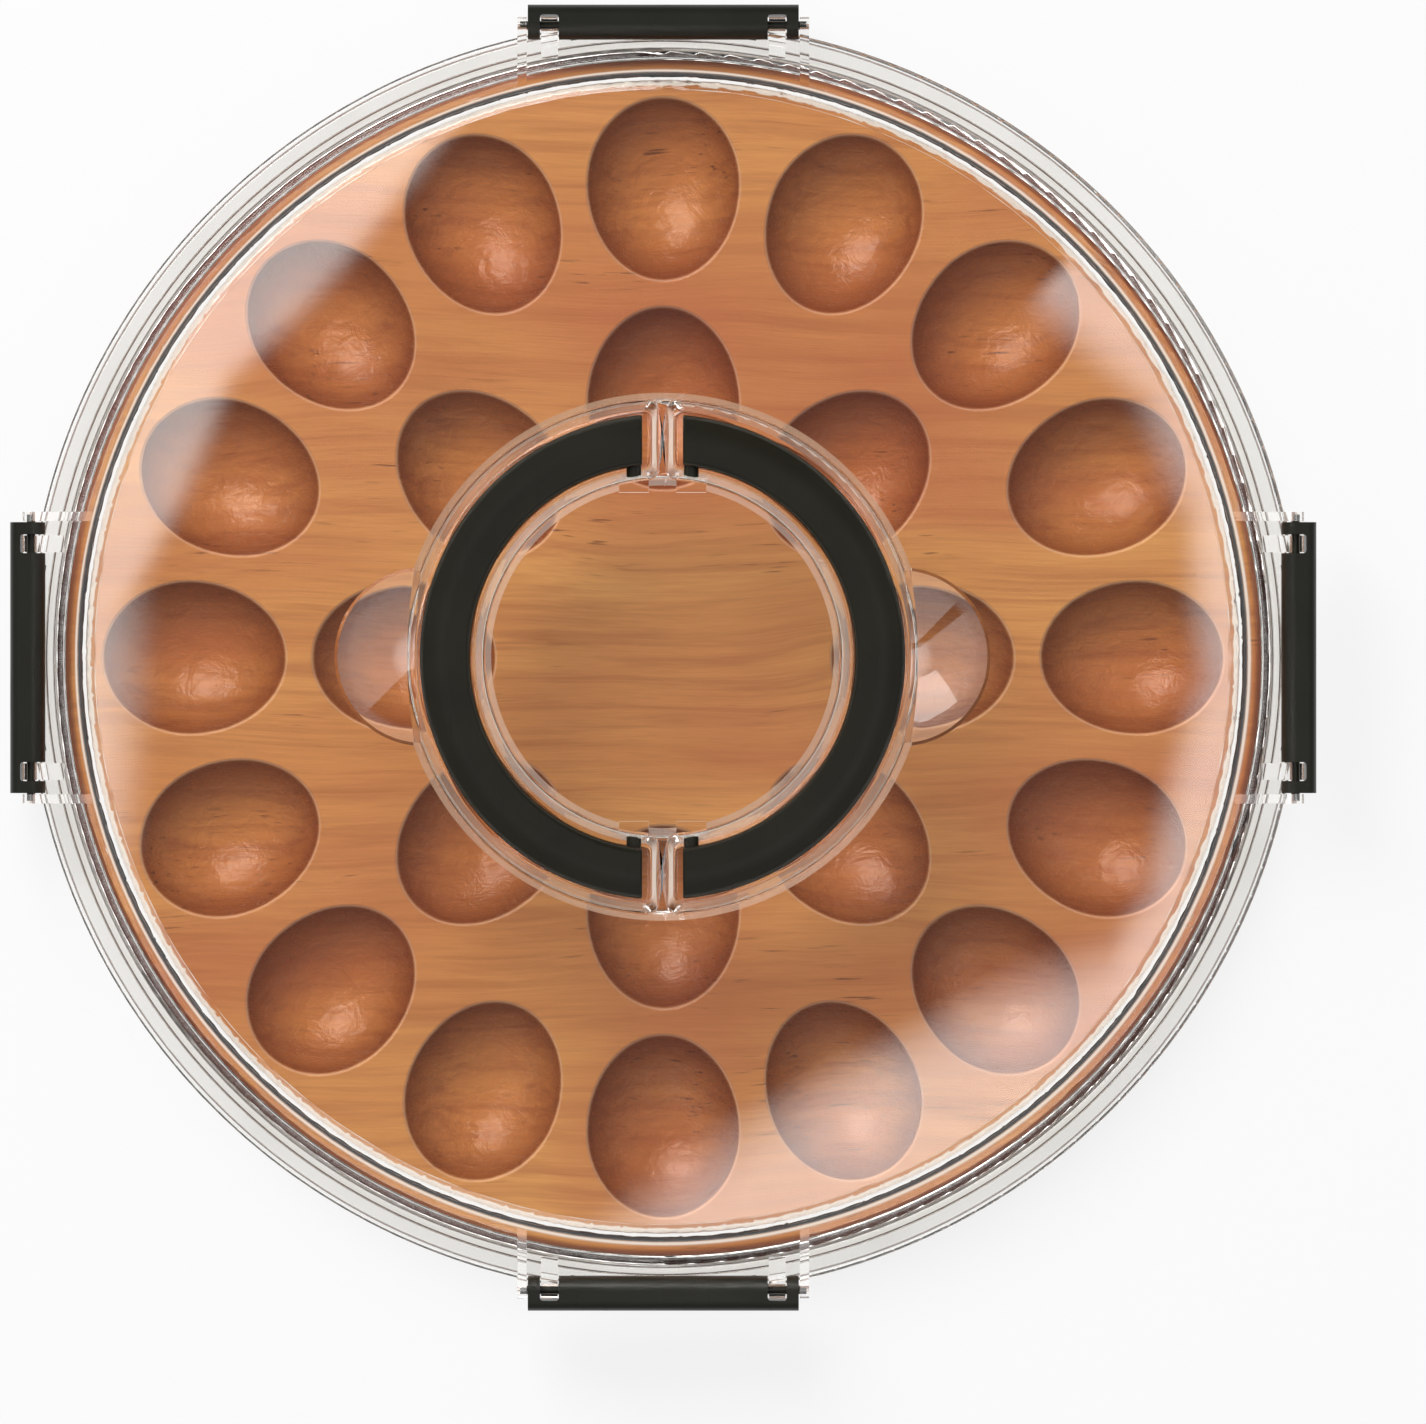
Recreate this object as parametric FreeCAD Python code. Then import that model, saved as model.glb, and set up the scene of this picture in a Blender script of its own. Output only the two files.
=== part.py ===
import FreeCAD, Part
import math
import os

# A round deviled egg carrier: a clear base tray with a flat rim, a wooden board with two rings of egg
# pockets that lies in it, and a clear domed lid that covers it. Four latches hang from ears on the lid and
# hook under the tray's rim. Two half-ring handles lie flat in channels in the lid's top and swing up to
# meet. The origin is on the table under the middle, +Z is up, +Y is the back latch. Sizes in millimetres.

# outer radius of the lid's rim, which the tray, the board, the hinges and the rings of pockets follow
lid_rim_radius = 165.0

# base tray
foot_height = 1.6
foot_inset = 27.0
foot_width = 4.0
tray_floor = 2.4
tray_wall = 2.0
tray_height = 26.0
tray_draft = 2.0
tray_corner_round = 6.0
tray_rim_thickness = 2.4
tray_rim_inset = 1.2
tray_rim_width = 6.0
rim_edge_round = 0.9
seat_gap = 0.2

# egg board
board_thickness = 18.0
board_gap = 0.5
board_top_round = 3.0
board_bottom_round = 4.4
pocket_width = 40.0
pocket_stretch = 1.2
pocket_depth = 12.5
pocket_blunt_share = 0.47
pocket_edge_round = 0.6
pocket_web = 8.2
outer_ring_inset = 33.5
ring_spacing = 57.2

# lid shell
lid_wall = 2.2
lid_rim_thickness = 2.2
lid_rim_width = 12.4
lid_rise = 52.0
lid_draft = 4.0
lid_crown = 3.5
lid_shoulder_round = 5.0
lid_foot_round = 1.5
rib_gap = 0.3
rib_width = 2.4
rib_drop = 3.4
rib_edge_round = 1.1

# handles and the channels that they lie in
handle_radius = 55.4
handle_width = 12.9
handle_thickness = 8.6
handle_sink = 1.2
handle_end = 5.2
handle_edge_round = 1.6
handle_end_round = 0.6
handle_crest_offset = 1.3
handle_fall = 1.5
handle_shoulder_round = 2.0
pivot_offset = 7.3
handle_pin_radius = 1.9
pin_gap = 0.08
channel_floor_gap = 0.5
channel_side_gap = 1.0
channel_draft = 13.0
channel_wall = 2.0
channel_corner_round = 2.4
channel_floor_round = 1.2
channel_rim_round = 0.6
ridge_width = 5.6
ridge_draft = 8.0
boss_width = 7.6
boss_length = 4.1
boss_height = 8.0
boss_end_wall = 3.3
pin_end_gap = 0.3

# finger scoops beside the channels
scoop_radius = 22.0
scoop_offset = 0.65
scoop_depth = 8.5

# latches, their hinge and the ears on the lid
latch_length = 70.0
hinge_inset = 1.5
barrel_radius = 3.7
barrel_gap = 0.3
latch_pin_radius = 1.1
latch_pin_gap = 0.1
latch_reach = 6.5
latch_drop = 19.8
latch_wall = 2.2
latch_waist = 4.9
latch_waist_drop = 12.0
latch_waist_round = 10.0
latch_shoulder = 5.4
latch_shoulder_round = 2.5
latch_foot_round = 0.9
latch_foot_slope = 0.3
latch_overlap = 0.3
knuckle_width = 3.1
inner_knuckle_width = 2.5
notch_width = 4.9
notch_reach = 2.65
notch_round = 0.8
cheek_thickness = 1.6
cheek_reach = 0.8
cheek_tail = 4.0
cheek_round = 3.0
ear_side_gap = 0.3
ear_radius = 2.2
ear_snap_width = 1.7
outer_ear_width = 2.4
outer_pin_length = 2.0
hook_gap = 0.3
hook_catch = 2.0
hook_lip = 0.9
hook_slope_drop = 4.0
hook_half_length = 24.0
tab_thickness = 1.8
tab_gap = 0.7
gusset_height = 9.0

# sizes that follow from those above
pocket_length = pocket_width * pocket_stretch
tray_rim_radius = lid_rim_radius - tray_rim_inset
tray_mouth_radius = tray_rim_radius - tray_rim_width
lid_foot_radius = lid_rim_radius - lid_rim_width
hinge_radius = lid_rim_radius - hinge_inset
foot_radius = lid_rim_radius - foot_inset
tray_floor_top = foot_height + tray_floor
board_bottom = tray_floor_top + seat_gap
board_top = board_bottom + board_thickness
lid_rim_bottom = tray_height + seat_gap
lid_rim_top = lid_rim_bottom + lid_rim_thickness
shoulder_height = lid_rim_top + lid_rise
shoulder_radius = lid_foot_radius - lid_rise * math.tan(math.radians(lid_draft))
crown_height = shoulder_height + lid_crown
crown_radius = (shoulder_radius ** 2 + lid_crown ** 2) / (2 * lid_crown)
handle_inner = handle_radius - handle_width / 2
handle_outer = handle_radius + handle_width / 2
top_over_handle = crown_height - crown_radius + math.sqrt(crown_radius ** 2 - handle_radius ** 2)
channel_floor = top_over_handle - handle_sink - handle_thickness - channel_floor_gap
pivot_height = channel_floor + channel_floor_gap + handle_thickness / 2
hinge_height = lid_rim_top + barrel_gap + barrel_radius
scoop_centre = handle_outer - scoop_offset

# how far cutting solids run past what they cut
past = 4.0


def tray_mouth_at(height):
    """Inner radius of the tray's drafted wall at a height."""
    return tray_mouth_radius - (tray_height - height) * math.tan(math.radians(tray_draft))


def rounded_edges(corners, place):
    """Edges of a closed outline. Each corner is (a, b) or (a, b, round), and place turns (a, b) into a point."""
    count = len(corners)
    starts, ends, middles = [], [], []
    for i in range(count):
        here = FreeCAD.Vector(corners[i][0], corners[i][1], 0)
        radius = corners[i][2] if len(corners[i]) > 2 else 0.0
        before = FreeCAD.Vector(corners[i - 1][0], corners[i - 1][1], 0) - here
        after = FreeCAD.Vector(corners[(i + 1) % count][0], corners[(i + 1) % count][1], 0) - here
        before.normalize()
        after.normalize()
        if radius <= 0:
            starts.append(here)
            ends.append(here)
            middles.append(None)
            continue
        half_angle = before.getAngle(after) / 2
        setback = radius / math.tan(half_angle)
        bisector = before + after
        bisector.normalize()
        centre = here + bisector * (radius / math.sin(half_angle))
        starts.append(here + before * setback)
        ends.append(here + after * setback)
        middles.append(centre - bisector * radius)
    edges = []
    for i in range(count):
        if middles[i] is not None:
            edges.append(Part.Arc(place(starts[i]), place(middles[i]), place(ends[i])).toShape())
        following = (i + 1) % count
        if (starts[following] - ends[i]).Length > 1e-6:
            edges.append(Part.LineSegment(place(ends[i]), place(starts[following])).toShape())
    return edges


def upright(point):
    """(a, b) as radius and height in the XZ plane."""
    return FreeCAD.Vector(point.x, 0, point.y)


def sideways(point):
    """(a, b) as distance along +Y and height in the YZ plane."""
    return FreeCAD.Vector(0, point.x, point.y)


def turned(corners):
    """A closed outline of radius and height, turned round the vertical axis."""
    face = Part.Face(Part.Wire(rounded_edges(corners, upright)))
    return face.revolve(FreeCAD.Vector(0, 0, 0), FreeCAD.Vector(0, 0, 1), 360)


def pushed(corners, x_from, x_to):
    """A closed outline of distance along +Y and height, extruded along X between two places."""
    face = Part.Face(Part.Wire(rounded_edges(corners, sideways)))
    face.translate(FreeCAD.Vector(x_from, 0, 0))
    return face.extrude(FreeCAD.Vector(x_to - x_from, 0, 0))


def block(x_from, x_to, y_from, y_to, z_from, z_to):
    corner = FreeCAD.Vector(x_from, y_from, z_from)
    return Part.makeBox(x_to - x_from, y_to - y_from, z_to - z_from, corner)


def rod(radius, start, end):
    along = end - start
    return Part.makeCylinder(radius, along.Length, start, along)


def quarter_turned(shape, quarter):
    copy = shape.copy()
    copy.rotate(FreeCAD.Vector(0, 0, 0), FreeCAD.Vector(0, 0, 1), 90 * quarter)
    return copy


def both_sides(shape):
    """The shape and its mirror image across the YZ plane."""
    return shape.fuse(shape.mirror(FreeCAD.Vector(0, 0, 0), FreeCAD.Vector(1, 0, 0)))


def one_solid(shape):
    solids = shape.removeSplitter().Solids
    if len(solids) != 1:
        raise ValueError("the piece came out as %d solids" % len(solids))
    return solids[0]


def base_tray():
    """The clear tray: a floor on a foot ring, a drafted wall and a flat rim."""
    foot_inner = foot_radius - foot_width / 2
    foot_outer = foot_radius + foot_width / 2
    floor_inner = tray_mouth_at(tray_floor_top)
    rim_under = tray_height - tray_rim_thickness
    wall_outer_low = tray_mouth_at(foot_height) + tray_wall
    wall_outer_high = tray_mouth_at(rim_under) + tray_wall
    foot_round = foot_height / 4
    return turned([
        (0, foot_height),
        (foot_inner, foot_height),
        (foot_inner, 0, foot_round),
        (foot_outer, 0, foot_round),
        (foot_outer, foot_height),
        (wall_outer_low, foot_height, tray_corner_round),
        (wall_outer_high, rim_under, rim_edge_round),
        (tray_rim_radius, rim_under, rim_edge_round),
        (tray_rim_radius, tray_height, rim_edge_round),
        (tray_mouth_radius, tray_height, rim_edge_round),
        (floor_inner, tray_floor_top, tray_corner_round - tray_wall),
        (0, tray_floor_top),
    ])


def pocket_rings():
    """Radius and pocket count of the outer and the inner ring. Pockets come in fours, one of each four by a latch."""
    board_radius = tray_mouth_at(tray_floor_top) - board_gap
    rings = []
    for ring_radius in (board_radius - outer_ring_inset, board_radius - outer_ring_inset - ring_spacing):
        fours = int(2 * math.pi * ring_radius / (4 * (pocket_width + pocket_web)))
        rings.append((ring_radius, 4 * max(fours, 1)))
    return rings


def egg_body():
    """An egg lying level over the board, blunt end towards +X. Its cross-sections are circles."""
    section_radius = (pocket_width ** 2 / 4 + pocket_depth ** 2) / (2 * pocket_depth)
    axis_height = section_radius - pocket_depth
    shown_share = math.sqrt(1 - (axis_height / section_radius) ** 2)
    blunt = pocket_length * pocket_blunt_share / shown_share
    pointed = pocket_length * (1 - pocket_blunt_share) / shown_share
    middle = FreeCAD.Vector(0, 0, 0)
    blunt_end = Part.ArcOfEllipse(Part.Ellipse(middle, blunt, section_radius), 0, math.pi / 2)
    pointed_end = Part.ArcOfEllipse(Part.Ellipse(middle, pointed, section_radius), math.pi / 2, math.pi)
    axis = Part.LineSegment(FreeCAD.Vector(-pointed, 0, 0), FreeCAD.Vector(blunt, 0, 0))
    face = Part.Face(Part.Wire([blunt_end.toShape(), pointed_end.toShape(), axis.toShape()]))
    face.rotate(middle, FreeCAD.Vector(1, 0, 0), 90)
    egg = face.revolve(middle, FreeCAD.Vector(1, 0, 0), 360)
    egg.translate(FreeCAD.Vector(0, 0, board_top + axis_height))
    return egg


def pocket_cutter():
    """What one pocket takes out of the board, with the soft edge round its mouth."""
    reach = pocket_length
    slab = block(-reach, reach, -reach, reach, board_bottom, board_top)
    hollowed = slab.cut(egg_body())
    mouth = [e for e in hollowed.Edges if e.BoundBox.ZMin > board_top - 1e-3 and e.BoundBox.DiagonalLength < 1.6 * reach]
    return slab.cut(hollowed.makeFillet(pocket_edge_round, mouth)).Solids[0]


def egg_board():
    """The wooden board: a thick disc with rounded edges and two rings of egg pockets."""
    board_radius = tray_mouth_at(tray_floor_top) - board_gap
    disc = turned([
        (0, board_bottom),
        (board_radius, board_bottom, board_bottom_round),
        (board_radius, board_top, board_top_round),
        (0, board_top),
    ])
    pocket = pocket_cutter()
    middle, up = FreeCAD.Vector(0, 0, 0), FreeCAD.Vector(0, 0, 1)
    cutters = []
    for (ring_radius, count), blunt_turn in zip(pocket_rings(), (0, 180)):
        for k in range(count):
            cutter = pocket.copy()
            cutter.rotate(middle, up, blunt_turn)
            cutter.translate(FreeCAD.Vector(ring_radius, 0, 0))
            cutter.rotate(middle, up, 90 + 360.0 * k / count)
            cutters.append(cutter)
    return one_solid(disc.cut(Part.makeCompound(cutters)))


def crowned(solid, top_height, top_radius, edge_round):
    """The solid under a wide sphere, with the edge where its wall meets the sphere rounded."""
    ball = Part.makeSphere(top_radius, FreeCAD.Vector(0, 0, top_height - top_radius))
    ball.rotate(FreeCAD.Vector(0, 0, 0), FreeCAD.Vector(0, 0, 1), 90)  # its seam runs along the ridge, clear of the rims
    capped = solid.common(ball)
    level = [e for e in capped.Edges if not e.Degenerated and e.BoundBox.ZLength < 1e-3]
    shoulder = max(level, key=lambda e: e.BoundBox.ZMax)
    return capped.makeFillet(edge_round, [shoulder])


def handle_channels():
    """The two half-ring channels as solids, open above, with a ridge between their ends."""
    inner = handle_inner - channel_side_gap
    outer = handle_outer + channel_side_gap
    rise = crown_height + past - channel_floor
    spread = rise * math.tan(math.radians(channel_draft))
    ring = turned([
        (inner, channel_floor),
        (outer, channel_floor),
        (outer + spread, channel_floor + rise),
        (inner - spread, channel_floor + rise),
    ])
    foot = ridge_width / 2
    lean = rise * math.tan(math.radians(ridge_draft))
    ridge_corners = [
        FreeCAD.Vector(-foot, 0, channel_floor - past),
        FreeCAD.Vector(foot, 0, channel_floor - past),
        FreeCAD.Vector(foot, 0, channel_floor),
        FreeCAD.Vector(foot - lean, 0, channel_floor + rise),
        FreeCAD.Vector(lean - foot, 0, channel_floor + rise),
        FreeCAD.Vector(-foot, 0, channel_floor),
    ]
    ridge = Part.Face(Part.makePolygon(ridge_corners + ridge_corners[:1]))
    ridge.translate(FreeCAD.Vector(0, -2 * outer, 0))
    halves = ring.cut(ridge.extrude(FreeCAD.Vector(0, 4 * outer, 0))).Solids
    rounded = []
    for half in halves:
        corners = [e for e in half.Edges if e.BoundBox.ZLength > rise / 2 and len(e.Vertexes) == 2]
        corners = [e for e in corners if abs(e.CenterOfMass.x) < 2 * ridge_width]
        soft = half.makeFillet(channel_corner_round, corners)
        floor_edges = [e for e in soft.Edges if e.BoundBox.ZMax < channel_floor + 1e-3]
        rounded.append(soft.makeFillet(channel_floor_round, floor_edges))
    return rounded


def finger_scoops(grow):
    """A dish each side, cut from a ball and kept outside the middle of the handle. grow adds a wall's thickness."""
    ball_radius = (scoop_radius ** 2 + scoop_depth ** 2) / (2 * scoop_depth)
    middle = Part.makeCylinder(handle_radius, 2 * crown_height)
    dishes = []
    for side in (-1, 1):
        top_here = crown_height - crown_radius + math.sqrt(crown_radius ** 2 - scoop_centre ** 2)
        centre = FreeCAD.Vector(side * scoop_centre, 0, top_here - scoop_depth + ball_radius)
        dishes.append(Part.makeSphere(ball_radius + grow, centre).cut(middle))
    return dishes


def boss_place():
    """Where the handles' sockets start and end along Y, inside the channel's inner wall."""
    wall_face = handle_inner - channel_side_gap - channel_wall
    return wall_face - boss_length, wall_face + channel_wall / 2


def socket_end():
    """Distance along Y from the middle to the closed end of a handle's pin socket."""
    return boss_place()[0] + boss_end_wall


def lid_cavity():
    """The space under the lid, less the channels' walls, the scoops' walls and the handle sockets."""
    slope = math.tan(math.radians(lid_draft))
    inner_foot = lid_foot_radius - lid_wall
    high = crown_height + past
    bell = turned([
        (0, -past),
        (inner_foot, -past),
        (inner_foot, lid_rim_top),
        (inner_foot - (high - lid_rim_top) * slope, high),
        (0, high),
    ])
    cavity = crowned(bell, crown_height - lid_wall, crown_radius - lid_wall, lid_shoulder_round - lid_wall)
    inner = handle_inner - channel_side_gap - channel_wall
    outer = handle_outer + channel_side_gap + channel_wall
    rise = high - channel_floor + channel_wall
    spread = rise * math.tan(math.radians(channel_draft))
    trough = turned([
        (inner, channel_floor - channel_wall, channel_floor_round),
        (outer, channel_floor - channel_wall, channel_floor_round),
        (outer + spread, channel_floor - channel_wall + rise),
        (inner - spread, channel_floor - channel_wall + rise),
    ])
    cavity = cavity.cut(trough)
    for dish in finger_scoops(lid_wall):
        cavity = cavity.cut(dish)
    boss_from, boss_to = boss_place()
    for side in (-1, 1):
        for end in (-1, 1):
            x_middle = side * pivot_offset
            boss = block(x_middle - boss_width / 2, x_middle + boss_width / 2,
                         min(end * boss_from, end * boss_to), max(end * boss_from, end * boss_to),
                         pivot_height - boss_height / 2, high)
            cavity = cavity.cut(boss)
    return cavity


def ear(x_from, x_to, foot_from, rear_height, snap):
    """A hinge ear on the lid's rim: an eye on a leg that slopes down towards the lid's wall."""
    eye_y, eye_z = hinge_radius, hinge_height
    back_y, back_z = foot_from, lid_rim_top + rear_height
    to_back = math.atan2(back_z - eye_z, back_y - eye_y)
    distance = math.hypot(back_y - eye_y, back_z - eye_z)
    back_touch = to_back - math.acos(ear_radius / distance)
    front_y = hinge_radius - ear_radius / 2
    root = lid_rim_top - lid_rim_thickness / 4
    to_front = math.atan2(root - eye_z, front_y - eye_y)
    front_distance = math.hypot(front_y - eye_y, root - eye_z)
    front_touch = to_front + math.acos(ear_radius / front_distance)

    def on_eye(angle):
        return FreeCAD.Vector(0, eye_y + ear_radius * math.cos(angle), eye_z + ear_radius * math.sin(angle))

    back_top = FreeCAD.Vector(0, back_y, back_z)
    back_root = FreeCAD.Vector(0, back_y, root)
    front_root = FreeCAD.Vector(0, front_y, root)
    upper, lower = on_eye(back_touch), on_eye(front_touch)
    while front_touch > back_touch:
        front_touch -= 2 * math.pi
    across = on_eye((back_touch + front_touch) / 2)
    outline = Part.Wire([
        Part.LineSegment(back_root, back_top).toShape(),
        Part.LineSegment(back_top, upper).toShape(),
        Part.Arc(upper, across, lower).toShape(),
        Part.LineSegment(lower, front_root).toShape(),
        Part.LineSegment(front_root, back_root).toShape(),
    ])
    face = Part.Face(outline)
    face.translate(FreeCAD.Vector(x_from, 0, 0))
    plate = face.extrude(FreeCAD.Vector(x_to - x_from, 0, 0))
    bore = rod(latch_pin_radius + latch_pin_gap,
               FreeCAD.Vector(x_from - past, eye_y, eye_z), FreeCAD.Vector(x_to + past, eye_y, eye_z))
    plate = plate.cut(bore)
    if snap:
        slot = block(x_from, x_to, eye_y - ear_snap_width / 2, eye_y + ear_snap_width / 2, eye_z, eye_z + past)
        plate = plate.cut(slot)
    return plate


def notch_span():
    """Where each latch notch starts and ends along the hinge, from the latch's middle."""
    outer = latch_length / 2 - knuckle_width
    return outer - notch_width, outer


def latch_seat():
    """What carries one latch on the lid, at the back: a tab on the rim, two snap ears, and two outer ears on gussets."""
    notch_in, notch_out = notch_span()
    outer_ear_in = latch_length / 2 + ear_side_gap
    outer_ear_out = outer_ear_in + outer_ear_width
    well_inside = math.sqrt((lid_foot_radius - lid_wall - past) ** 2 - outer_ear_out ** 2)
    tab_edge = hinge_radius - barrel_radius - tab_gap
    root = lid_rim_top - lid_rim_thickness / 4
    tab = block(-outer_ear_out, outer_ear_out, well_inside, tab_edge, root, lid_rim_top + tab_thickness)
    snap_ear = ear(notch_in + ear_side_gap, notch_out - ear_side_gap, tab_edge - past, tab_thickness, True)
    outer_ear = ear(outer_ear_in, outer_ear_out, well_inside, gusset_height, False)
    return tab.fuse([both_sides(snap_ear), both_sides(outer_ear)])


def lid():
    """The clear lid: rim, locating rib, drafted wall and crowned top, with channels, scoops, sockets and ears."""
    slope = math.tan(math.radians(lid_draft))
    rib_outer = tray_mouth_at(tray_height - rib_drop) - rib_gap
    rib_inner = rib_outer - rib_width
    rib_bottom = tray_height - rib_drop
    high = crown_height + past
    body = turned([
        (0, lid_rim_bottom),
        (rib_inner, lid_rim_bottom),
        (rib_inner, rib_bottom, rib_edge_round),
        (rib_outer, rib_bottom, rib_edge_round),
        (rib_outer, lid_rim_bottom),
        (lid_rim_radius, lid_rim_bottom, rim_edge_round),
        (lid_rim_radius, lid_rim_top, rim_edge_round),
        (lid_foot_radius, lid_rim_top, lid_foot_round),
        (lid_foot_radius - (high - lid_rim_top) * slope, high),
        (0, high),
    ])
    body = crowned(body, crown_height, crown_radius, lid_shoulder_round)
    for channel in handle_channels():
        body = body.cut(channel)
    rims = []
    for edge in body.Edges:
        box = edge.BoundBox
        reach = math.hypot(max(abs(box.XMin), abs(box.XMax)), max(abs(box.YMin), abs(box.YMax)))
        seam = box.YLength < 1e-4
        if box.ZMin > shoulder_height and reach < 2 * handle_outer and not seam:
            rims.append(edge)
    body = body.makeFillet(channel_rim_round, rims)
    for dish in finger_scoops(0.0):
        body = body.cut(dish)
    seats = [quarter_turned(latch_seat(), k) for k in range(4)]
    body = body.fuse(seats)
    body = body.cut(lid_cavity())
    for side in (-1, 1):
        for end in (-1, 1):
            start = FreeCAD.Vector(side * pivot_offset, end * socket_end(), pivot_height)
            finish = FreeCAD.Vector(side * pivot_offset, end * handle_radius, pivot_height)
            body = body.cut(rod(handle_pin_radius + pin_gap, start, finish))
    return one_solid(body)


def handle(side):
    """A half-ring handle with a crowned top and a pin at each end that points at the middle of the lid."""
    low = pivot_height - handle_thickness / 2
    high = pivot_height + handle_thickness / 2
    ring = turned([
        (handle_inner, low, handle_edge_round),
        (handle_outer, low, handle_edge_round),
        (handle_outer, high - handle_fall, handle_shoulder_round),
        (handle_radius + handle_crest_offset, high, handle_width),
        (handle_inner, high, handle_edge_round),
    ])
    keep = block(handle_end, 2 * handle_outer, -2 * handle_outer, 2 * handle_outer, low - past, high + past)
    half = ring.common(keep)
    end_edges = [e for e in half.Edges if e.BoundBox.XMax < handle_end + 1e-3]
    half = half.makeFillet(handle_end_round, end_edges)
    root_y = handle_inner + handle_width / 3
    for end in (-1, 1):
        tip = FreeCAD.Vector(pivot_offset, end * (socket_end() + pin_end_gap), pivot_height)
        root = FreeCAD.Vector(pivot_offset, end * root_y, pivot_height)
        half = half.fuse(rod(handle_pin_radius, tip, root))
    if side < 0:
        half = half.mirror(FreeCAD.Vector(0, 0, 0), FreeCAD.Vector(1, 0, 0))
    return one_solid(half)


def latch():
    """The back latch, closed: a barrel round the hinge, a cap and face that hang outside the rims, and a hook."""
    y0, z0 = hinge_radius, hinge_height
    half = latch_length / 2
    notch_in, notch_out = notch_span()
    under_cap = barrel_radius - latch_wall
    inner_waist = latch_waist - latch_wall
    inner_shoulder = latch_shoulder - latch_wall
    cover = pushed([
        (y0, z0 + barrel_radius),
        (y0 + latch_shoulder, z0 + barrel_radius, latch_shoulder_round),
        (y0 + latch_waist, z0 - latch_waist_drop, latch_waist_round),
        (y0 + latch_reach, z0 - latch_drop + latch_foot_slope, latch_foot_round),
        (y0 + latch_reach - latch_wall, z0 - latch_drop, latch_foot_round),
        (y0 + inner_waist, z0 - latch_waist_drop, latch_waist_round - latch_wall),
        (y0 + inner_shoulder, z0 + under_cap, latch_wall / 2),
        (y0, z0 + under_cap),
    ], -half, half)
    barrel = rod(barrel_radius, FreeCAD.Vector(-half, y0, z0), FreeCAD.Vector(half, y0, z0))
    core_half = notch_in - inner_knuckle_width
    core_radius = under_cap + latch_overlap
    core = rod(core_radius, FreeCAD.Vector(-core_half, y0, z0), FreeCAD.Vector(core_half, y0, z0))
    core = core.fuse(block(-core_half, core_half, y0 - core_radius, y0 + barrel_radius, z0 - 2 * barrel_radius, z0))
    body = barrel.cut(core).fuse(cover)

    cheek_y = y0 - cheek_reach
    cheek_foot = z0 - latch_waist_drop - cheek_tail
    cheek = pushed([
        (y0 + inner_shoulder + latch_overlap, z0),
        (cheek_y, z0 - latch_pin_radius),
        (cheek_y, z0 - latch_waist_drop / 2, cheek_round),
        (y0 + inner_waist, cheek_foot, cheek_round),
        (y0 + inner_waist + latch_wall / 2, cheek_foot),
    ], half - cheek_thickness, half)
    body = body.fuse(both_sides(cheek))

    notch = block(notch_in, notch_out, y0 - 2 * barrel_radius, y0 + notch_reach,
                  z0 - 2 * barrel_radius, z0 + 2 * barrel_radius)
    corners = []
    for edge in notch.Edges:
        if edge.BoundBox.ZLength > barrel_radius and edge.CenterOfMass.y > y0:
            corners.append(edge)
    body = body.cut(both_sides(notch.makeFillet(notch_round, corners)))
    pin_half = half + outer_pin_length
    pin = rod(latch_pin_radius, FreeCAD.Vector(-pin_half, y0, z0), FreeCAD.Vector(-core_half, y0, z0))
    body = body.fuse(both_sides(pin))

    ledge_top = tray_height - tray_rim_thickness - hook_gap
    tip = tray_rim_radius - hook_catch
    beyond = y0 + 2 * latch_reach
    ledge = turned([
        (tip, ledge_top, hook_lip / 3),
        (beyond, ledge_top),
        (beyond, ledge_top - hook_lip - hook_slope_drop * (beyond - tip) / latch_reach),
        (tip, ledge_top - hook_lip, hook_lip / 3),
    ])
    window = block(-hook_half_length, hook_half_length, 0, y0 + inner_waist + latch_wall / 2, 0, ledge_top + past)
    body = body.fuse(ledge.common(window))
    return one_solid(body)


def main():
    os.makedirs("parts", exist_ok=True)
    pieces = {
        "base_tray": base_tray(),
        "egg_board": egg_board(),
        "lid": lid(),
        "handle_left": handle(-1),
        "handle_right": handle(1),
    }
    back_latch = latch()
    for quarter, place in enumerate(["back", "left", "front", "right"]):
        pieces["latch_" + place] = quarter_turned(back_latch, quarter)
    for name, shape in pieces.items():
        print("%-14s valid %s  volume %.1f cm3" % (name, shape.isValid(), shape.Volume / 1000))
        shape.exportStep("parts/%s.step" % name)


if __name__ == "__main__":
    main()
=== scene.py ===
import math
import bpy
import numpy as np
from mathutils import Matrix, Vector


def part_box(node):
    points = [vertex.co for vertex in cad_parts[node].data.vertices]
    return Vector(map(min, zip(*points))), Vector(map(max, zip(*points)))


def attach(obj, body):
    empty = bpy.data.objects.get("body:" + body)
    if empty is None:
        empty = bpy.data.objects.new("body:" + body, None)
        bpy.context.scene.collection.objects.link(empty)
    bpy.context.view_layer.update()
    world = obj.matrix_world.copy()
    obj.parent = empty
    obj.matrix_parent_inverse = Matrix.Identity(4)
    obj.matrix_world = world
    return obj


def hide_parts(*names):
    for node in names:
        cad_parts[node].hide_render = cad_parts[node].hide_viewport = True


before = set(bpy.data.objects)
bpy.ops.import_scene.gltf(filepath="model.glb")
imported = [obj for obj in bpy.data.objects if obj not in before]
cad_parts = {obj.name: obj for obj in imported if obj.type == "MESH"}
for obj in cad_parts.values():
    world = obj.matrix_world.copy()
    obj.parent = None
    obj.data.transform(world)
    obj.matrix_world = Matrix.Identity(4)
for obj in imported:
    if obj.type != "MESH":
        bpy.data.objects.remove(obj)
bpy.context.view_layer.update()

print("carrier frame loaded:", ", ".join(sorted(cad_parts)))


def lin(r, g, b, a=1.0):
    # screen colour 0..255 to the linear value that a shader socket takes
    c = [v / 255.0 for v in (r, g, b)]
    return tuple(v / 12.92 if v <= 0.04045 else ((v + 0.055) / 1.055) ** 2.4 for v in c) + (a,)


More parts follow.
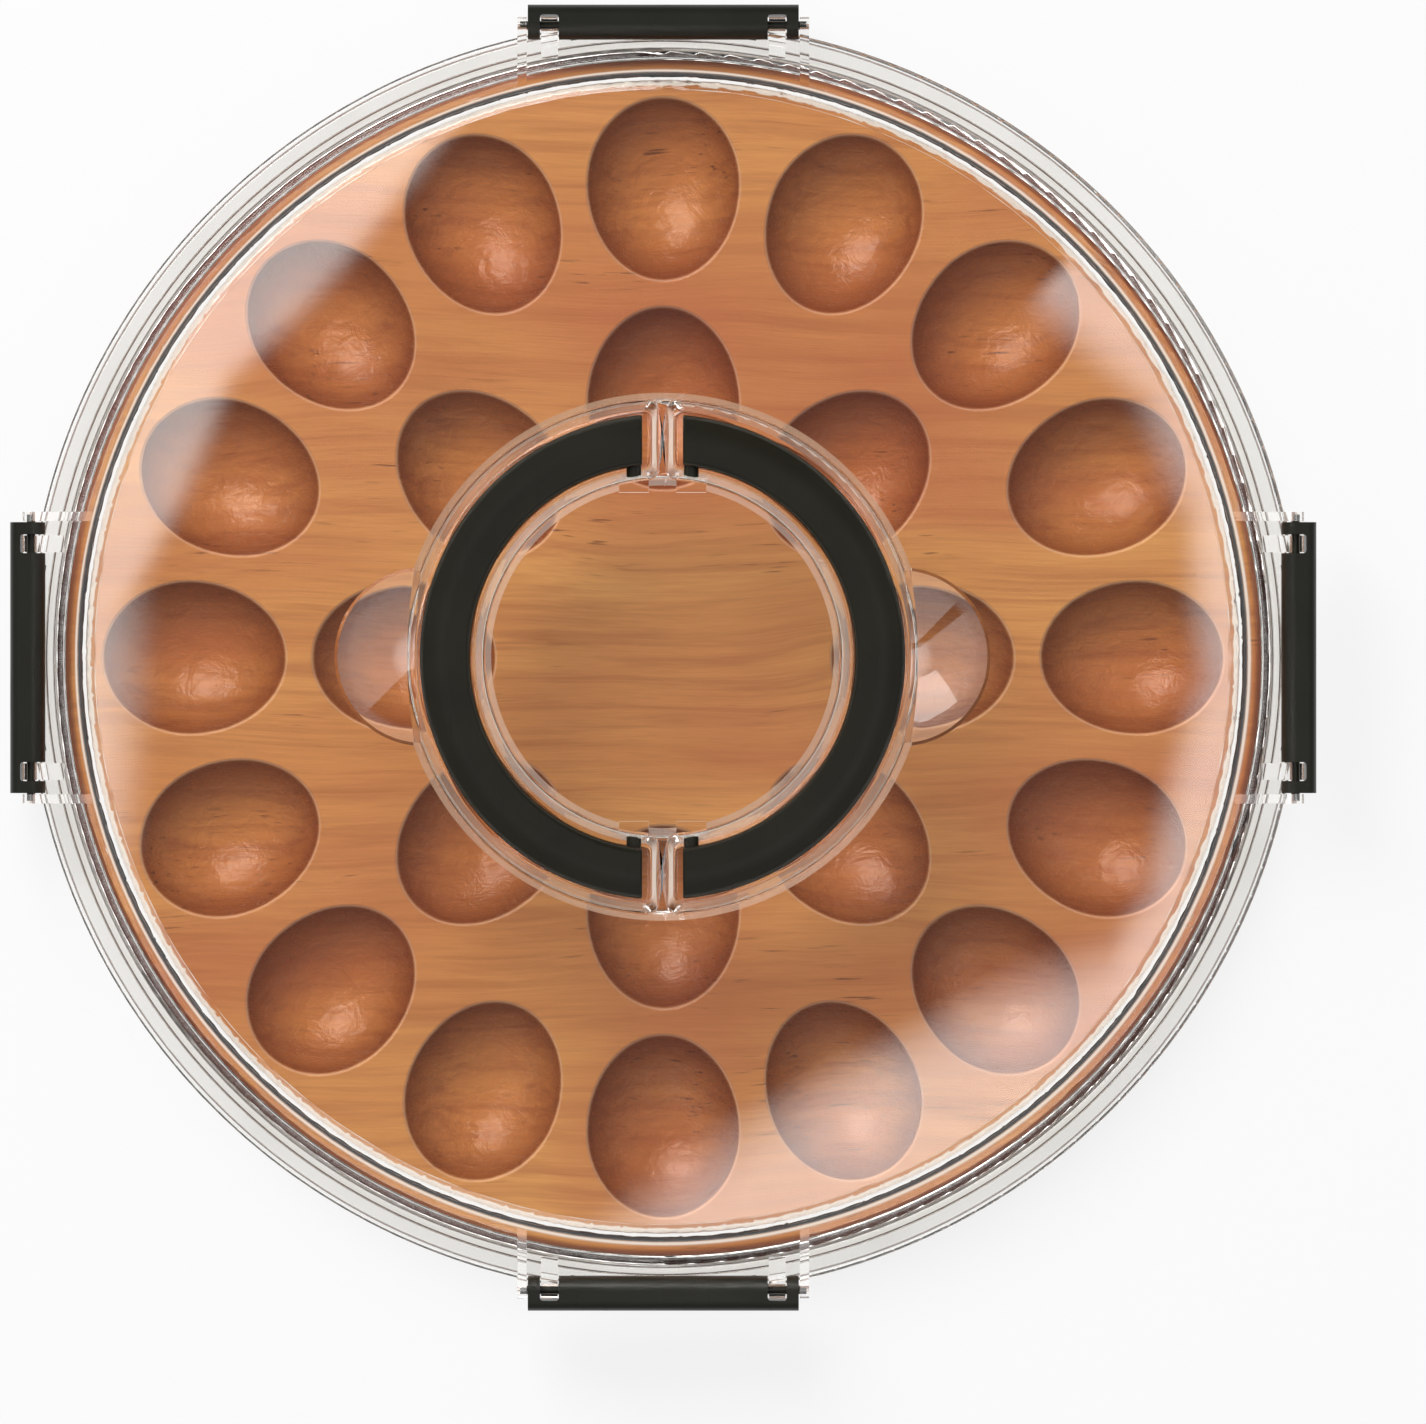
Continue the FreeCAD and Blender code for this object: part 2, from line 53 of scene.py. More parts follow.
white = (1.0, 1.0, 1.0, 1.0)
nodeSpacing = (260, 220)  # steps between columns and rows in the node editor


def newNode(tree, kind, **settings):
    node = tree.nodes.new(kind)
    for key, value in settings.items():
        setattr(node, key, value)
    return node


def layOut(tree):
    # columns by the longest way to an end of the tree, rows in the order of making
    column = {node.name: 0 for node in tree.nodes}
    for _ in range(len(column)):
        for link in tree.links:
            before, after = link.from_node.name, link.to_node.name
            column[before] = max(column[before], column[after] + 1)
    filled = {}
    for node in tree.nodes:
        place = column[node.name]
        row = filled.get(place, 0)
        node.location = (-nodeSpacing[0] * place, -nodeSpacing[1] * row)
        filled[place] = row + 1


def feed(tree, value, socket):
    # links a socket, or sets a number or colour
    if isinstance(value, bpy.types.NodeSocket):
        tree.links.new(value, socket)
    else:
        socket.default_value = value


def showSurface(tree, shader):
    tree.links.new(shader, tree.nodes["Material Output"].inputs["Surface"])


def startMaterial(name):
    mat = bpy.data.materials.new(name)
    mat.use_nodes = True
    tree = mat.node_tree
    tree.nodes.clear()
    newNode(tree, "ShaderNodeOutputMaterial")
    shader = newNode(tree, "ShaderNodeBsdfPrincipled")
    showSurface(tree, shader.outputs["BSDF"])
    return mat, tree, shader


def combine(tree, op, a, b, clamp=False):
    # one Math node; a and b are numbers or sockets
    node = newNode(tree, "ShaderNodeMath", operation=op, use_clamp=clamp)
    feed(tree, a, node.inputs[0])
    feed(tree, b, node.inputs[1])
    return node.outputs[0]


def mapRange(tree, value, span, to=(0.0, 1.0), kind="LINEAR"):
    # span is carried over to the range given by to
    node = newNode(tree, "ShaderNodeMapRange", interpolation_type=kind)
    tree.links.new(value, node.inputs["Value"])
    for key, v in zip(("From Min", "From Max", "To Min", "To Max"), tuple(span) + tuple(to)):
        node.inputs[key].default_value = v
    return node.outputs["Result"]


def stretchedNoise(tree, coords, scale, detail=3.0, rough=0.5, distort=0.0):
    # noise whose cells are stretched by an uneven scale along X, Y and Z
    mapping = newNode(tree, "ShaderNodeMapping")
    mapping.inputs["Scale"].default_value = scale
    tree.links.new(coords, mapping.inputs["Vector"])
    noise = newNode(tree, "ShaderNodeTexNoise")
    for key, v in (("Scale", 1.0), ("Detail", detail), ("Roughness", rough), ("Distortion", distort)):
        noise.inputs[key].default_value = v
    tree.links.new(mapping.outputs["Vector"], noise.inputs["Vector"])
    return noise.outputs["Fac"]


def mixColour(tree, factor, a, b, blend="MIX"):
    node = newNode(tree, "ShaderNodeMix", data_type="RGBA", blend_type=blend)
    for key, v in ((0, factor), (6, a), (7, b)):
        feed(tree, v, node.inputs[key])
    return node.outputs[2]


def mixValue(tree, factor, a, b):
    node = newNode(tree, "ShaderNodeMix", data_type="FLOAT")
    for key, v in ((0, factor), (2, a), (3, b)):
        feed(tree, v, node.inputs[key])
    return node.outputs[0]


def mixShaders(tree, factor, a, b):
    node = newNode(tree, "ShaderNodeMixShader")
    for key, v in enumerate((factor, a, b)):
        tree.links.new(v, node.inputs[key])
    return node.outputs["Shader"]


def addBump(tree, height, look, under=None):
    # look is the bump's strength and its height in metres; under is the normal of a bump below it
    node = newNode(tree, "ShaderNodeBump")
    node.inputs["Strength"].default_value, node.inputs["Distance"].default_value = look
    tree.links.new(height, node.inputs["Height"])
    if under is not None:
        tree.links.new(under, node.inputs["Normal"])
    return node.outputs["Normal"]


def addTransparent(tree, colour):
    node = newNode(tree, "ShaderNodeBsdfTransparent")
    node.inputs["Color"].default_value = colour
    return node.outputs["BSDF"]


# shared effect: rub marks and smears that hands and washing leave on smooth plastic
handlingLook = {
    "smearNoise": ((28, 28, 28), 1.0, 0.55, 0.6),  # scale, detail, roughness, distortion
    "smearSpan": (0.56, 0.76),
    "scratchNoise": ((900, 40, 300), 1.0, 0.5, 0.8),
    "scratchSpan": (0.66, 0.72),
    "unset": 0.1,  # what each input holds until a material sets it
}


def makeHandlingMarks():
    group = bpy.data.node_groups.new("handlingMarks", "ShaderNodeTree")
    face = group.interface
    face.new_socket("Vector", in_out="INPUT", socket_type="NodeSocketVector")
    for name in ("Base Roughness", "Smear Amount", "Scratch Amount"):
        face.new_socket(name, in_out="INPUT", socket_type="NodeSocketFloat").default_value = handlingLook["unset"]
    face.new_socket("Roughness", in_out="OUTPUT", socket_type="NodeSocketFloat")
    start = newNode(group, "NodeGroupInput")
    end = newNode(group, "NodeGroupOutput")
    coords = start.outputs["Vector"]
    smear = mapRange(group, stretchedNoise(group, coords, *handlingLook["smearNoise"]), handlingLook["smearSpan"])
    scratches = mapRange(group, stretchedNoise(group, coords, *handlingLook["scratchNoise"]),
                         handlingLook["scratchSpan"])
    fromSmear = combine(group, "MULTIPLY", smear, start.outputs["Smear Amount"])
    fromScratch = combine(group, "MULTIPLY", scratches, start.outputs["Scratch Amount"])
    rough = combine(group, "ADD", combine(group, "ADD", fromSmear, fromScratch),
                    start.outputs["Base Roughness"], True)
    group.links.new(rough, end.inputs["Roughness"])
    layOut(group)
    return group


handlingMarks = makeHandlingMarks()


def placeHandling(tree, coords, values):
    node = newNode(tree, "ShaderNodeGroup", node_tree=handlingMarks)
    node.inputs["Base Roughness"].default_value = values["roughness"]
    node.inputs["Smear Amount"].default_value = values["smears"]
    node.inputs["Scratch Amount"].default_value = values["scratches"]
    tree.links.new(coords, node.inputs["Vector"])
    return node


# shared effect: moulded skin, a very fine orange peel with a slow mottle under it
skinLook = {"detail": 2.0, "mottleScale": 60.0, "grain": 0.0006}


def makeMouldedSkin():
    group = bpy.data.node_groups.new("mouldedSkin", "ShaderNodeTree")
    face = group.interface
    face.new_socket("Vector", in_out="INPUT", socket_type="NodeSocketVector")
    face.new_socket("Grain Size", in_out="INPUT", socket_type="NodeSocketFloat").default_value = skinLook["grain"]
    face.new_socket("Height", in_out="OUTPUT", socket_type="NodeSocketFloat")
    face.new_socket("Mottle", in_out="OUTPUT", socket_type="NodeSocketFloat")
    start = newNode(group, "NodeGroupInput")
    end = newNode(group, "NodeGroupOutput")
    scales = {"Height": combine(group, "DIVIDE", 1.0, start.outputs["Grain Size"]), "Mottle": skinLook["mottleScale"]}
    for name, scale in scales.items():
        noise = newNode(group, "ShaderNodeTexNoise")
        noise.inputs["Detail"].default_value = skinLook["detail"]
        feed(group, scale, noise.inputs["Scale"])
        group.links.new(start.outputs["Vector"], noise.inputs["Vector"])
        group.links.new(noise.outputs["Fac"], end.inputs[name])
    layOut(group)
    return group


mouldedSkin = makeMouldedSkin()


# clear lid and tray: the CAD nodes' own walls, with their facets divided along the true curves
clearPlastic = {
    "ior": 1.49,
    "tint": lin(254, 253, 251),
    "smearTint": lin(247, 246, 243),
    "paintedEdgeGlow": lin(252, 243, 230),  # painted glow: a pale emission that stands in for the light the walls gather where they are seen along their length
    "glowShare": 0.72,
    "wallPass": 0.55,  # share of light that crosses steep walls without being bent, which keeps thin walls calm
    "lowGlow": 0.10,  # the same two shares down at the rim, where walls stand close together
    "lowPass": 0.90,
    "heightSpan": (0.040, 0.055),  # metres over which the shares go from the rim's to the upper walls'
    "passFacing": (0.60, 0.80),  # how far along its length a wall is seen where each effect sets in and is full
    "glowFacing": (0.72, 0.92),
    "smearDetail": 1.0,
    "smearSpan": (0.55, 0.75),
    "lidSmears": 26,  # smears per metre
    "traySmears": 34,
    "lampsPass": lin(251, 250, 248),
    "sagLimit": 0.00003,  # metres by which a level edge may cut a corner of the curve
    "steepShare": 0.08,  # share of that limit on upright walls, which are seen along their length
    "passes": 2,
    "mergeDecimals": 7,  # corners are one point when their metres agree to this many decimals
    "creaseSine": 0.05,  # sine of the least angle between two surfaces that meet in a crease
    "mostLift": 0.15,  # share of its length by which an edge's middle may move, larger is a fault in the normals
}


def makeClearPlastic(name, smearScale):
    mat, tree, shader = startMaterial(name)
    coords = newNode(tree, "ShaderNodeTexCoord").outputs["Object"]
    smears = mapRange(tree, stretchedNoise(tree, coords, (smearScale,) * 3, clearPlastic["smearDetail"]),
                      clearPlastic["smearSpan"])
    colour = mixColour(tree, smears, clearPlastic["tint"], clearPlastic["smearTint"])
    tree.links.new(colour, shader.inputs["Base Color"])
    shader.inputs["Transmission Weight"].default_value = 1.0
    shader.inputs["IOR"].default_value = clearPlastic["ior"]
    shader.inputs["Roughness"].default_value = 0.0
    # steep walls let part of the light pass unbent and get a painted pale glow, an emission that stands in for the
    # light they gather
    facing = newNode(tree, "ShaderNodeLayerWeight").outputs["Facing"]
    place = newNode(tree, "ShaderNodeSeparateXYZ")
    tree.links.new(coords, place.inputs[0])
    passShare = mapRange(tree, place.outputs["Z"], clearPlastic["heightSpan"],
                         (clearPlastic["lowPass"], clearPlastic["wallPass"]))
    glowAmount = mapRange(tree, place.outputs["Z"], clearPlastic["heightSpan"],
                          (clearPlastic["lowGlow"], clearPlastic["glowShare"]))
    # painted glow: emission that stands in for light gathered along the walls
    paintedGlow = newNode(tree, "ShaderNodeEmission")
    paintedGlow.inputs["Color"].default_value = clearPlastic["paintedEdgeGlow"]
    walls = mixShaders(tree, combine(tree, "MULTIPLY", mapRange(tree, facing, clearPlastic["passFacing"]), passShare),
                       shader.outputs["BSDF"], addTransparent(tree, clearPlastic["lampsPass"]))
    withGlow = mixShaders(tree, combine(tree, "MULTIPLY", mapRange(tree, facing, clearPlastic["glowFacing"]), glowAmount),
                       walls, paintedGlow.outputs["Emission"])
    # lamps shine through the thin walls, so the board is lit as it is under real plastic
    path = newNode(tree, "ShaderNodeLightPath")
    lamps = combine(tree, "MAXIMUM", path.outputs["Is Shadow Ray"], path.outputs["Is Diffuse Ray"])
    showSurface(tree, mixShaders(tree, lamps, withGlow, addTransparent(tree, clearPlastic["lampsPass"])))
    mat.cycles.emission_sampling = "NONE"
    layOut(tree)
    return mat


tiny = 1e-12  # keeps a vector of no length from being divided by nothing


def unit(vectors):
    return vectors / np.maximum(np.linalg.norm(vectors, axis=-1, keepdims=True), tiny)


def nodeTriangles(node):
    # a node's triangles with doubles merged: points, three corners each, and the normal at each corner
    mesh = bpy.data.objects[node].data
    places = np.empty(len(mesh.vertices) * 3)
    mesh.vertices.foreach_get("co", places)
    corners = np.empty(len(mesh.loops), dtype=int)
    mesh.loops.foreach_get("vertex_index", corners)
    normals = np.empty(len(mesh.loops) * 3)
    mesh.corner_normals.foreach_get("vector", normals)
    points, merged = np.unique(np.round(places.reshape(-1, 3), clearPlastic["mergeDecimals"]), axis=0,
                               return_inverse=True)
    corners = merged.reshape(-1)[corners].reshape(-1, 3)
    whole = (corners != np.roll(corners, 1, axis=1)).all(axis=1)
    return points, corners[whole], normals.reshape(-1, 3, 3)[whole]


def laidIn(chord, sideA, sideB):
    # a chord laid into the surface at one of its ends, or along the crease where two surfaces meet there
    across = np.cross(sideA, sideB)
    crease = unit(across)
    middle = unit(sideA + sideB)
    alongCrease = crease * np.sum(chord * crease, axis=1, keepdims=True)
    alongSurface = chord - middle * np.sum(chord * middle, axis=1, keepdims=True)
    isCrease = np.linalg.norm(across, axis=1, keepdims=True) > clearPlastic["creaseSine"]
    return np.where(isCrease, alongCrease, alongSurface)


def dividedAlongCurves(points, corners, normals):
    # An edge AB that cuts a corner of its curve by more than the limit is halved at (A + B) / 2 + (TA - TB) / 8,
    # where TA and TB are AB laid into the surface at A and at B. Both sides of an edge get the same point.
    ahead = np.roll(corners, -1, axis=1)
    normalsAhead = np.roll(normals, -1, axis=1)
    pairs = np.stack([np.minimum(corners, ahead), np.maximum(corners, ahead)], axis=-1).reshape(-1, 2)
    edges, owner = np.unique(pairs, axis=0, return_inverse=True)
    owner = owner.reshape(-1)
    backwards = (corners > ahead)[..., None]
    atLow = np.where(backwards, normalsAhead, normals).reshape(-1, 3)
    atHigh = np.where(backwards, normals, normalsAhead).reshape(-1, 3)
    order = np.argsort(owner, kind="stable")
    numbers = np.arange(len(edges))
    one = order[np.searchsorted(owner[order], numbers, "left")]
    two = order[np.searchsorted(owner[order], numbers, "right") - 1]
    chord = points[edges[:, 1]] - points[edges[:, 0]]
    lift = (laidIn(chord, atLow[one], atLow[two]) - laidIn(chord, atHigh[one], atHigh[two])) / 8
    most = clearPlastic["mostLift"] * np.linalg.norm(chord, axis=1)
    size = np.linalg.norm(lift, axis=1)
    level = np.abs((atLow + atHigh)[one][:, 2]) / 2
    limit = clearPlastic["sagLimit"] * (clearPlastic["steepShare"] + level)
    halved = (size > limit) & (size < most)
    middle = np.full(len(edges), -1)
    middle[halved] = len(points) + np.arange(halved.sum())
    added = (points[edges[:, 0]] + points[edges[:, 1]])[halved] / 2 + lift[halved]

    # each triangle becomes one to four: corners 0 to 2, edge middles 3 to 5, turned so that each case looks alike
    cut = middle[owner].reshape(-1, 3)
    isCut = cut >= 0
    count = isCut.sum(axis=1)
    turn = np.where(count == 1, np.argmax(isCut, axis=1), np.where(count == 2, np.argmin(isCut, axis=1) + 1, 0))
    columns = (np.arange(3) + turn[:, None]) % 3
    columns = np.concatenate([columns, columns + 3], axis=1)
    places = np.take_along_axis(np.concatenate([corners, cut], axis=1), columns, axis=1)
    facing = np.concatenate([normals, unit(normals + normalsAhead)], axis=1)
    facing = np.take_along_axis(facing, columns[..., None], axis=1)
    cases = {0: [(0, 1, 2)], 1: [(0, 3, 2), (3, 1, 2)], 2: [(3, 1, 4), (0, 3, 4), (0, 4, 2)],
             3: [(0, 3, 5), (3, 1, 4), (5, 4, 2), (3, 4, 5)]}
    newCorners = [places[count == n][:, face] for n, faces in cases.items() for face in faces]
    newNormals = [facing[count == n][:, face] for n, faces in cases.items() for face in faces]
    return np.concatenate([points, added]), np.concatenate(newCorners), np.concatenate(newNormals)


def makeClearShell(name, node, material):
    points, corners, normals = nodeTriangles(node)
    for _ in range(clearPlastic["passes"]):
        points, corners, normals = dividedAlongCurves(points, corners, normals)
    # the added points stay within the CAD node's own bounds
    points = np.clip(points, *(np.array(corner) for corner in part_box(node)))
    mesh = bpy.data.meshes.new(name)
    mesh.from_pydata(points, [], corners)
    mesh.polygons.foreach_set("use_smooth", np.ones(len(corners), dtype=bool))
    mesh.normals_split_custom_set(normals.reshape(-1, 3))
    mesh.materials.append(material)
    shell = bpy.data.objects.new(name, mesh)
    bpy.context.collection.objects.link(shell)
    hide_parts(node)
    # lamps and the board's own soft light pass the thin walls, so these rays leave them out
    shell.visible_shadow = False
    shell.visible_diffuse = False
    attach(shell, "carrier")
    print(name, "triangles:", len(corners))


makeClearShell("clearLidShell", "lid",
               makeClearPlastic("clearLidPlastic", clearPlastic["lidSmears"]))
makeClearShell("clearTrayShell", "base_tray",
               makeClearPlastic("clearTrayPlastic", clearPlastic["traySmears"]))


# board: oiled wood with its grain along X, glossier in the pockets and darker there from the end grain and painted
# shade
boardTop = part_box("egg_board")[1][2]
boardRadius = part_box("egg_board")[1][0]
boardWood = {
    "light": lin(228, 160, 90),
    "middle": lin(209, 134, 73),
    "deep": lin(172, 100, 53),
    "red": lin(192, 106, 65),
    "streak": lin(104, 54, 28),
    # end grain and painted shade in the pockets: darkest and reddest at the walls, less at the bottom
    "wallGrainAndShade": lin(172, 140, 120),
    "bottomGrainAndShade": lin(236, 220, 204),
    # painted highlight: a pale line round each pocket's mouth
    "mouthHighlight": lin(255, 250, 240),
    "mouthHighlightShare": 0.16,
    # painted shade on the board's rounded outer edge
    "rimShade": lin(172, 134, 112),
    "bendScale": 7.0,
    "bendDetail": 2.0,
    "bendAmount": 0.02,  # metres
    # each layer: its noise (scale along X, Y and Z, detail, roughness, distortion), the span that shows, its share
    "layers": {
        "bands": (((4, 26, 26), 3.0, 0.5, 0.3), (0.34, 0.66), 1.0),
        "figure": (((12, 260, 160), 4.0, 0.6, 0.6), (0.45, 0.72), 0.7),
        "fibre": (((60, 1700, 900), 2.0, 0.6), (0.35, 0.75), 0.26),
        "redness": (((7, 15, 15), 2.0, 0.5, 0.4), (0.45, 0.68), 0.65),
        "dashes": (((70, 1000, 500), 2.0), (0.64, 0.74), 1.0),
        "dashPlaces": (((12, 34, 34), 2.0), (0.51, 0.63), 0.8),
    },
    "toolMarks": ((150, 150, 150), 4.0, 0.6, 0.5),
    # metres under the board's top where each effect sets in and is full
    "pocketDepths": (0.0004, 0.0012),
    "bottomDepths": (0.002, 0.011),
    "edgeDepths": (0.00004, 0.00015),
    "edgeEndDepths": (0.0004, 0.0006),
    "rimInward": (0.0034, 0.0022),  # metres inward from the board's outer edge, in the same way
    "roughness": 0.36,
    "pocketRoughness": 0.27,
    "fibreRoughSpan": (0.3, 0.7),
    "fibreRough": (-0.04, 0.06),
    "grainBump": (0.5, 0.00008),
    "toolBump": (0.6, 0.0012),
}


def makeBoardWood():
    mat, tree, shader = startMaterial("oiledBoardWood")
    coords = newNode(tree, "ShaderNodeTexCoord").outputs["Object"]
    # slow bend of the grain, so that its lines wander across the board
    bend = newNode(tree, "ShaderNodeTexNoise")
    bend.inputs["Scale"].default_value = boardWood["bendScale"]
    bend.inputs["Detail"].default_value = boardWood["bendDetail"]
    tree.links.new(coords, bend.inputs["Vector"])
    shift = newNode(tree, "ShaderNodeVectorMath", operation="SCALE")
    tree.links.new(bend.outputs["Color"], shift.inputs[0])
    shift.inputs["Scale"].default_value = boardWood["bendAmount"]
    bent = newNode(tree, "ShaderNodeVectorMath", operation="ADD")
    tree.links.new(coords, bent.inputs[0])
    tree.links.new(shift.outputs["Vector"], bent.inputs[1])

    noises, masks = {}, {}
    for key, (noise, span, share) in boardWood["layers"].items():
        noises[key] = stretchedNoise(tree, bent.outputs["Vector"], *noise)
        masks[key] = mapRange(tree, noises[key], span, (0.0, share))
    colour = mixColour(tree, masks["bands"], boardWood["middle"], boardWood["light"])
    for key, tint in (("figure", "deep"), ("redness", "red"), ("fibre", "deep")):
        colour = mixColour(tree, masks[key], colour, boardWood[tint])
    dashMask = combine(tree, "MULTIPLY", masks["dashes"], masks["dashPlaces"])
    colour = mixColour(tree, dashMask, colour, boardWood["streak"])

    # inside the pockets the wood is cut across its grain and glossier, with soft tool marks; its colour is darkened
    # and reddened there, most at the walls, partly for the end grain and partly as painted shade
    split = newNode(tree, "ShaderNodeSeparateXYZ")
    tree.links.new(coords, split.inputs[0])

    def below(key, to=(0.0, 1.0)):
        return mapRange(tree, split.outputs["Z"], [boardTop - depth for depth in boardWood[key]], to)

    inPocket = below("pocketDepths")
    pocketGrainAndShade = mixColour(tree, below("bottomDepths"), boardWood["wallGrainAndShade"], boardWood["bottomGrainAndShade"])
    colour = mixColour(tree, 1.0, colour, mixColour(tree, inPocket, white, pocketGrainAndShade), "MULTIPLY")
    # a pale line painted round each mouth's soft edge is a painted highlight
    mouthHighlightMask = combine(tree, "MULTIPLY", below("edgeDepths"), below("edgeEndDepths", (1.0, 0.0)))
    colour = mixColour(tree, combine(tree, "MULTIPLY", mouthHighlightMask, boardWood["mouthHighlightShare"]), colour, boardWood["mouthHighlight"])
    # painted shade darkens the rounded outer edge, where it sits in the gap beside the tray wall
    level = newNode(tree, "ShaderNodeCombineXYZ")
    tree.links.new(split.outputs["X"], level.inputs["X"])
    tree.links.new(split.outputs["Y"], level.inputs["Y"])
    reach = newNode(tree, "ShaderNodeVectorMath", operation="LENGTH")
    tree.links.new(level.outputs["Vector"], reach.inputs[0])
    shadedRim = mapRange(tree, reach.outputs["Value"], [boardRadius - inward for inward in boardWood["rimInward"]])
    colour = mixColour(tree, 1.0, colour, mixColour(tree, shadedRim, white, boardWood["rimShade"]), "MULTIPLY")
    tree.links.new(colour, shader.inputs["Base Color"])

    rough = mapRange(tree, inPocket, (0.0, 1.0), (boardWood["roughness"], boardWood["pocketRoughness"]))
    fibreRough = mapRange(tree, noises["fibre"], boardWood["fibreRoughSpan"], boardWood["fibreRough"])
    tree.links.new(combine(tree, "ADD", rough, fibreRough), shader.inputs["Roughness"])
    grain = addBump(tree, combine(tree, "SUBTRACT", noises["fibre"], dashMask), boardWood["grainBump"])
    tool = combine(tree, "MULTIPLY", stretchedNoise(tree, coords, *boardWood["toolMarks"]), inPocket)
    tree.links.new(addBump(tree, tool, boardWood["toolBump"], grain), shader.inputs["Normal"])
    layOut(tree)
    return mat


boardMaterial = makeBoardWood()
print("board wood made")


# handles and latches: black satin plastic
blackPlastic = {
    "handle": {"colour": lin(32, 30, 20), "roughness": 0.34, "smears": 0.12, "scratches": 0.12, "grain": 0.0007},
    "latch": {"colour": lin(31, 31, 24), "roughness": 0.36, "smears": 0.14, "scratches": 0.15, "grain": 0.0006},
    "darkShare": 0.75,  # brightness of the mottle's dark spots
    "mottleSpan": (0.3, 0.7),
    "bump": (0.35, 0.00006),
}


def makeBlackPlastic(name, values):
    mat, tree, shader = startMaterial(name)
    coords = newNode(tree, "ShaderNodeTexCoord").outputs["Object"]
    handled = placeHandling(tree, coords, values)
    skin = newNode(tree, "ShaderNodeGroup", node_tree=mouldedSkin)
    skin.inputs["Grain Size"].default_value = values["grain"]
    tree.links.new(coords, skin.inputs["Vector"])
    dark = tuple(blackPlastic["darkShare"] * v for v in values["colour"][:3]) + (1.0,)
    mottle = mapRange(tree, skin.outputs["Mottle"], blackPlastic["mottleSpan"])
    tree.links.new(mixColour(tree, mottle, dark, values["colour"]), shader.inputs["Base Color"])
    tree.links.new(handled.outputs["Roughness"], shader.inputs["Roughness"])
    tree.links.new(addBump(tree, skin.outputs["Height"], blackPlastic["bump"]), shader.inputs["Normal"])
    layOut(tree)
    return mat


handleMaterial = makeBlackPlastic("blackHandlePlastic", blackPlastic["handle"])
latchMaterial = makeBlackPlastic("blackLatchPlastic", blackPlastic["latch"])
print("black plastic made")


def dress(node, material):
    obj = bpy.data.objects[node]
    if not obj.material_slots:
        obj.data.materials.append(material)
    for place in obj.material_slots:
        place.link = "OBJECT"
        place.material = material


finishes = {"egg_board": boardMaterial}
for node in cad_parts:
    if node.startswith("handle_"):
        finishes[node] = handleMaterial
    elif node.startswith("latch_"):
        finishes[node] = latchMaterial
for node, material in finishes.items():
    dress(node, material)
print("nodes dressed:", len(finishes))


# studio: pale floor, a soft lamp from the upper left, and pale panels round a dark opening that the lid mirrors
studio = {
    "floorSize": 8.0,
    "floorColour": lin(246, 246, 246),
    "floorRoughness": 0.7,
    "floorGlow": 0.82,
    "skySides": 0.50,
    "skyTop": 0.30,
    "keyPower": 66.0,
    "keyPlace": (-0.9, 1.6, 2.1),
    "keyAim": (0.0, 0.0, 0.05),
    "keySize": 1.8,
    # strengths that the smooth lid mirrors, and the share of them that satin faces and the wood under the lid get
    "mirroredTop": 0.30,
    "mirroredPanels": 5.6,
    "wideShare": 0.34,
    "mirroredSides": 1.5,
    "satinShare": 0.15,
    "oneWall": 2.5,  # a ray through one clear wall has crossed two surfaces
    # the Z of a direction of length 1 between which the sky changes: for the panels, the sides and the plain light
    "panelHeights": (0.88, 0.97),
    "sideHeights": (0.30, 0.44),
    "plainHeights": (0.80, 0.93),
    "lowestHeight": 0.05,  # keeps the slope of a level direction finite
    # straight edges of the panels: heading in degrees, distance as a slope from the zenith, softness
    "leftEdges": ((136, 0.128, 0.003), (157, 0.128, 0.003), (180, 0.131, 0.006)),
    "leftEnds": ((180, 0.040, 0.002), (127, 0.035, 0.020)),
    "rightEdges": ((45, 0.1245, 0.005), (22, 0.1262, 0.005), (5, 0.1236, 0.004), (-14, 0.1203, 0.004),
                   (-32, 0.1215, 0.004), (-62, 0.107, 0.008)),
    "rightEnds": ((-44, -0.002, 0.003),),
}


def makeFloor():
    half = studio["floorSize"] / 2
    mesh = bpy.data.meshes.new("floor")
    mesh.from_pydata([(-half, -half, 0), (half, -half, 0), (half, half, 0), (-half, half, 0)], [], [(0, 1, 2, 3)])
    floor = bpy.data.objects.new("floor", mesh)
    bpy.context.collection.objects.link(floor)
    mat, tree, shader = startMaterial("paleFloor")
    shader.inputs["Base Color"].default_value = studio["floorColour"]
    shader.inputs["Roughness"].default_value = studio["floorRoughness"]
    # it glows where it is seen, also in a mirror or through the lid, and lights nothing
    glow = newNode(tree, "ShaderNodeEmission").outputs["Emission"]
    path = newNode(tree, "ShaderNodeLightPath").outputs
    throughLid = combine(tree, "MAXIMUM", path["Is Glossy Ray"], path["Is Transmission Ray"])
    seen = combine(tree, "MAXIMUM", path["Is Camera Ray"], throughLid)
    share = combine(tree, "MULTIPLY", seen, studio["floorGlow"])
    showSurface(tree, mixShaders(tree, share, shader.outputs["BSDF"], glow))
    mat.cycles.emission_sampling = "NONE"
    layOut(tree)
    mesh.materials.append(mat)


makeFloor()


def panelEdges(tree, slope, edges, op):
    # 1 past a straight edge, 0 before it; several edges are joined by their largest or smallest value
    total = None
    for heading, distance, softness in edges:
        turned = math.radians(heading)
        across = newNode(tree, "ShaderNodeVectorMath", operation="DOT_PRODUCT")
        tree.links.new(slope, across.inputs[0])
        across.inputs[1].default_value = (math.cos(turned), math.sin(turned), 0.0)
        past = mapRange(tree, across.outputs["Value"], (distance - softness, distance + softness), kind="SMOOTHSTEP")
        total = past if total is None else combine(tree, op, total, past)
    return total


